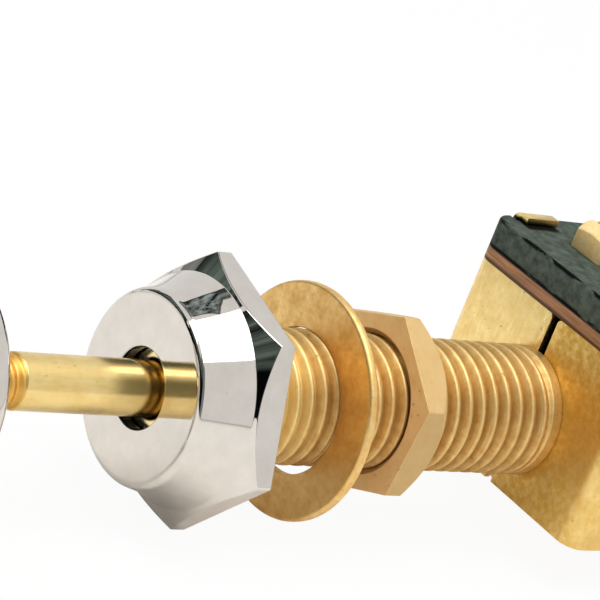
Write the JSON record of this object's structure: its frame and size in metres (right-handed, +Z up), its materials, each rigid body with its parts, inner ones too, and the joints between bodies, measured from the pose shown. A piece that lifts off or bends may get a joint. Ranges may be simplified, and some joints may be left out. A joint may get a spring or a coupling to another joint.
{
  "type": "push-pull switch",
  "caption": "Panel push-pull switch: a chromed knob slides a plunger through a threaded brass stem into a folded brass case with screw terminals on a dark board.",
  "frame": {"origin": "on the stem's axis in the panel's front face, which is the back face of the face nut", "axes": "+Y inwards along the stem, away from the knob; +Z up through the terminal board; +X across the case"},
  "size_m": [0.0266, 0.1022, 0.0293],
  "materials": {
    "chrome_plate": "polished chrome plate",
    "turned_brass": "turned, bright",
    "stamped_brass": "stamped, tumbled",
    "nut_brass": "milled, satin",
    "sheet_brass": "rolled sheet, slightly mottled",
    "screw_brass": "bright",
    "fibre": "vulcanised fibre",
    "phenolic_board": "laminated phenolic, mottled",
    "moulded_phenolic": "moulded phenolic",
    "copper_strip": "rolled copper",
    "spring_steel": "spring steel"
  },
  "bodies": {
    "case": {"stem": "turned_brass", "housing": "sheet_brass", "face_nut": "chrome_plate", "panel_washer": "stamped_brass", "jam_nut": "nut_brass", "insulator_sheet": "fibre", "terminal_board": "phenolic_board", "terminal_screw_left": "screw_brass", "terminal_screw_right": "screw_brass", "contact_stud_left": "turned_brass", "contact_stud_right": "turned_brass"},
    "plunger": {"plunger_shaft": "turned_brass", "knob": "chrome_plate", "contact_carrier": "moulded_phenolic", "contact_bridge": "copper_strip", "bridge_spring": "spring_steel", "carrier_clip_front": "spring_steel", "carrier_clip_rear": "spring_steel", "buffer_washer": "fibre"}
  },
  "joints": [
    {"name": "plunger_slide", "type": "slide", "parent": "case", "child": "plunger", "axis": [0, 1, 0], "range_m": [0, 0.0127]}
  ]
}
